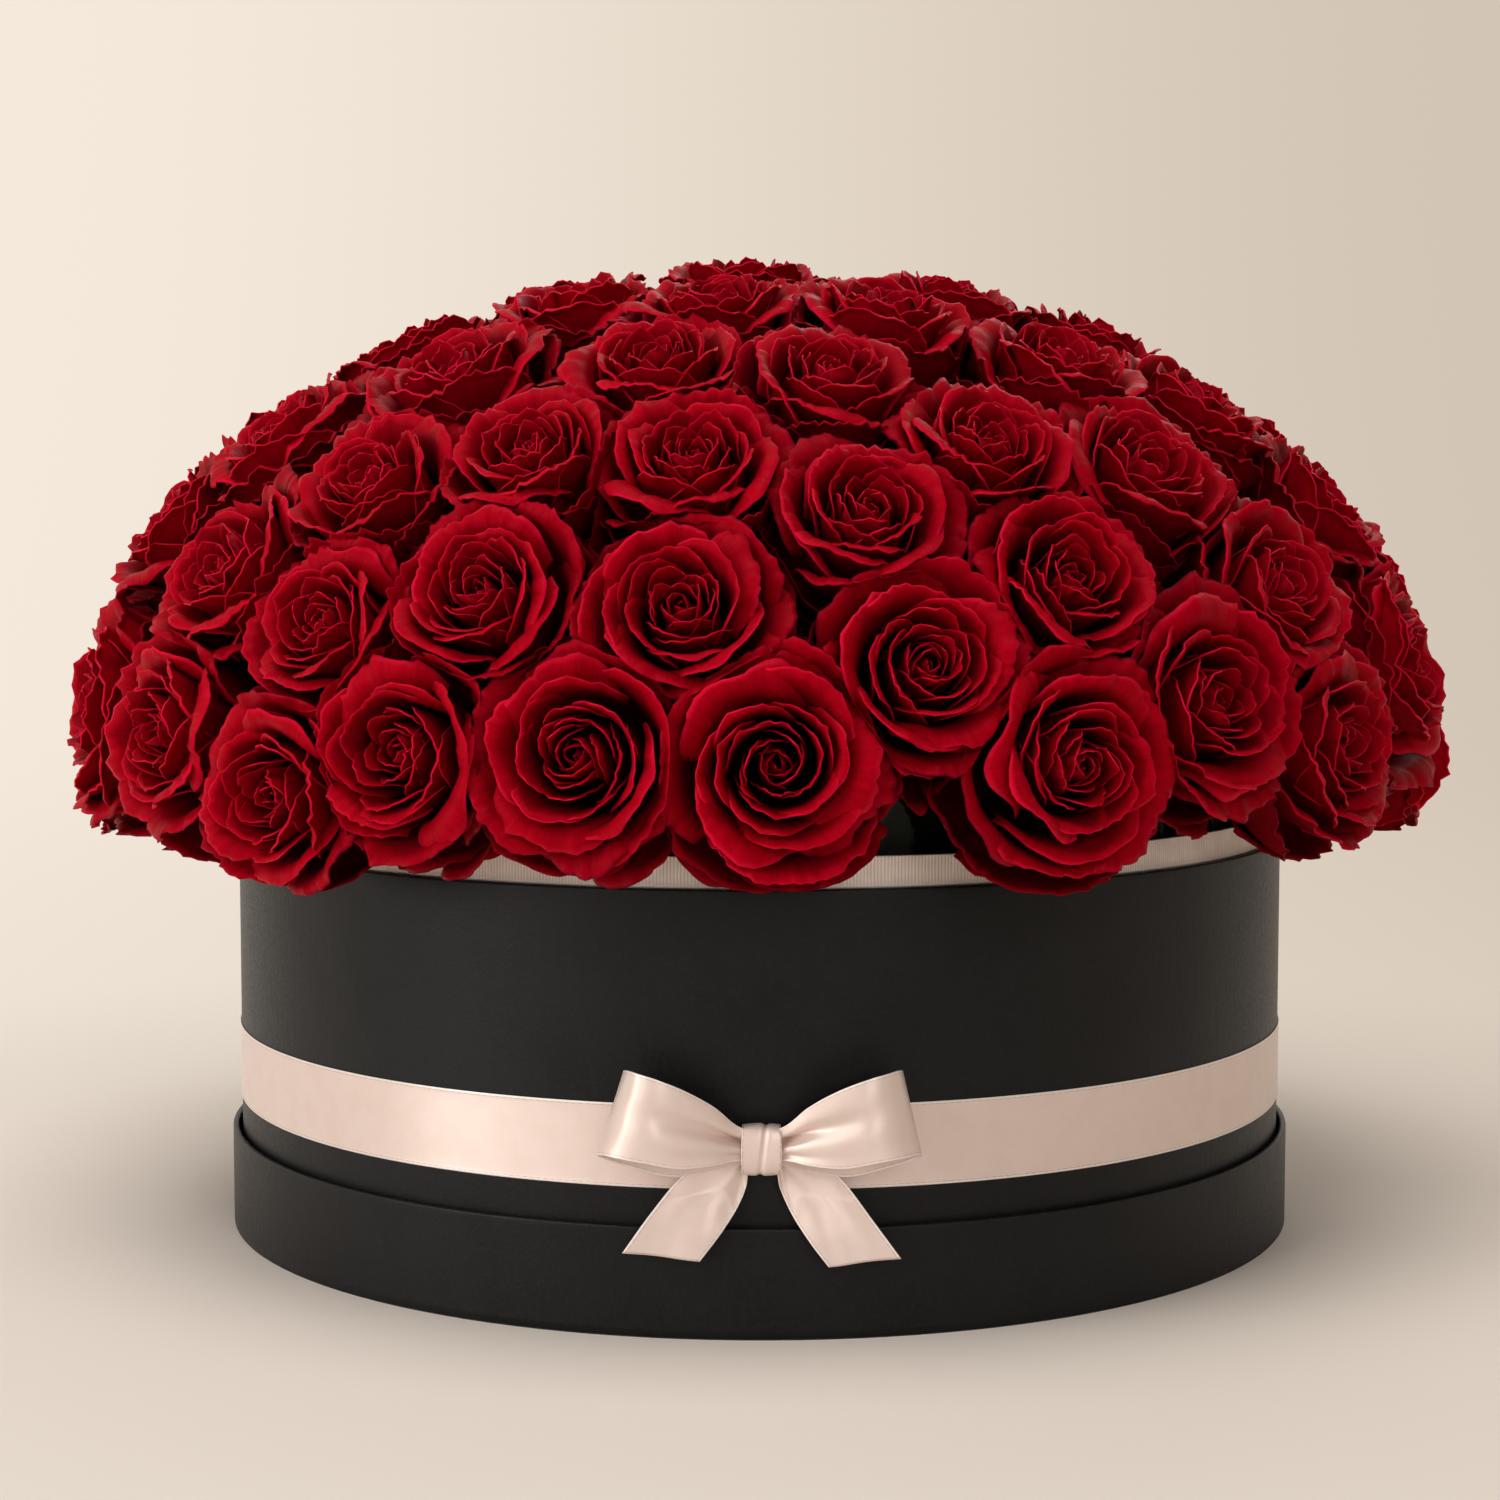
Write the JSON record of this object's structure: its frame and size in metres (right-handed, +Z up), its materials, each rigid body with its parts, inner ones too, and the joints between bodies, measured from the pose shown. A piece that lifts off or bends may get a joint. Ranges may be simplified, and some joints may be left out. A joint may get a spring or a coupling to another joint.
{
  "type": "flower box",
  "caption": "Round paper-covered flower box standing in its lid, with a satin ribbon and bow, and a lift-out foam insert that holds a dome of roses.",
  "frame": {"origin": "on the table under the centre of the box", "axes": "+Z up along the axis of the box, -Y towards the front with the bow, +X to its right"},
  "size_m": [0.4548, 0.4536, 0.3167],
  "materials": {
    "black_paper": "matte",
    "greyboard": "matte",
    "grosgrain": "matte",
    "satin": "satin",
    "glue_pad": "matte",
    "liner_film": "satin",
    "floral_foam": "matte",
    "petal": "matte",
    "stem_green": "matte",
    "leaf": "satin"
  },
  "bodies": {
    "tray": {"tray_base_paper": "black_paper", "tray_panel": "greyboard", "tray_wall": "greyboard", "tray_wrap": "black_paper"},
    "box": {"box_floor": "greyboard", "box_wall": "greyboard", "box_wrap": "black_paper", "neck_ring": "greyboard", "neck_ribbon": "grosgrain", "ribbon_band": "satin", "bow_glue_pad": "glue_pad", "bow_knot": "satin", "bow_loop_left": "satin", "bow_loop_right": "satin", "bow_tail_left": "satin", "bow_tail_right": "satin"},
    "insert": {"liner": "liner_film", "foam_brick_left": "floral_foam", "foam_brick_centre": "floral_foam", "foam_brick_right": "floral_foam", "foam_dome": "floral_foam", "rim_leaves": "leaf", "row_1_blooms": "petal", "row_1_calyxes": "stem_green", "row_1_stems": "stem_green", "row_2_blooms": "petal", "row_2_calyxes": "stem_green", "row_2_stems": "stem_green", "row_3_blooms": "petal", "row_3_calyxes": "stem_green", "row_3_stems": "stem_green", "row_4_blooms": "petal", "row_4_calyxes": "stem_green", "row_4_stems": "stem_green", "row_5_blooms": "petal", "row_5_calyxes": "stem_green", "row_5_stems": "stem_green"},
    "crown_rose_1": {"crown_rose_1_bloom": "petal", "crown_rose_1_calyx": "stem_green", "crown_rose_1_stem": "stem_green"},
    "crown_rose_2": {"crown_rose_2_bloom": "petal", "crown_rose_2_calyx": "stem_green", "crown_rose_2_stem": "stem_green"},
    "crown_rose_3": {"crown_rose_3_bloom": "petal", "crown_rose_3_calyx": "stem_green", "crown_rose_3_stem": "stem_green"},
    "crown_rose_4": {"crown_rose_4_bloom": "petal", "crown_rose_4_calyx": "stem_green", "crown_rose_4_stem": "stem_green"},
    "crown_rose_5": {"crown_rose_5_bloom": "petal", "crown_rose_5_calyx": "stem_green", "crown_rose_5_stem": "stem_green"},
    "crown_rose_6": {"crown_rose_6_bloom": "petal", "crown_rose_6_calyx": "stem_green", "crown_rose_6_stem": "stem_green"}
  },
  "joints": [
    {"name": "box_lift", "type": "slide", "parent": "tray", "child": "box", "axis": [0, 0, 1], "range_m": [0, 0.06]},
    {"name": "insert_lift", "type": "slide", "parent": "box", "child": "insert", "axis": [0, 0, 1], "range_m": [0, 0.16]},
    {"name": "crown_rose_1_pull", "type": "slide", "parent": "insert", "child": "crown_rose_1", "axis": [-0.0145, -0.1035, 0.9945], "range_m": [0, 0.12]},
    {"name": "crown_rose_2_pull", "type": "slide", "parent": "insert", "child": "crown_rose_2", "axis": [-0.188, -0.2016, 0.9613], "range_m": [0, 0.12]},
    {"name": "crown_rose_3_pull", "type": "slide", "parent": "insert", "child": "crown_rose_3", "axis": [0.2064, 0.0253, 0.9781], "range_m": [0, 0.12]},
    {"name": "crown_rose_4_pull", "type": "slide", "parent": "insert", "child": "crown_rose_4", "axis": [0.0145, 0.1035, 0.9945], "range_m": [0, 0.12]},
    {"name": "crown_rose_5_pull", "type": "slide", "parent": "insert", "child": "crown_rose_5", "axis": [0.188, 0.2016, 0.9613], "range_m": [0, 0.12]},
    {"name": "crown_rose_6_pull", "type": "slide", "parent": "insert", "child": "crown_rose_6", "axis": [-0.2064, -0.0253, 0.9781], "range_m": [0, 0.12]}
  ]
}
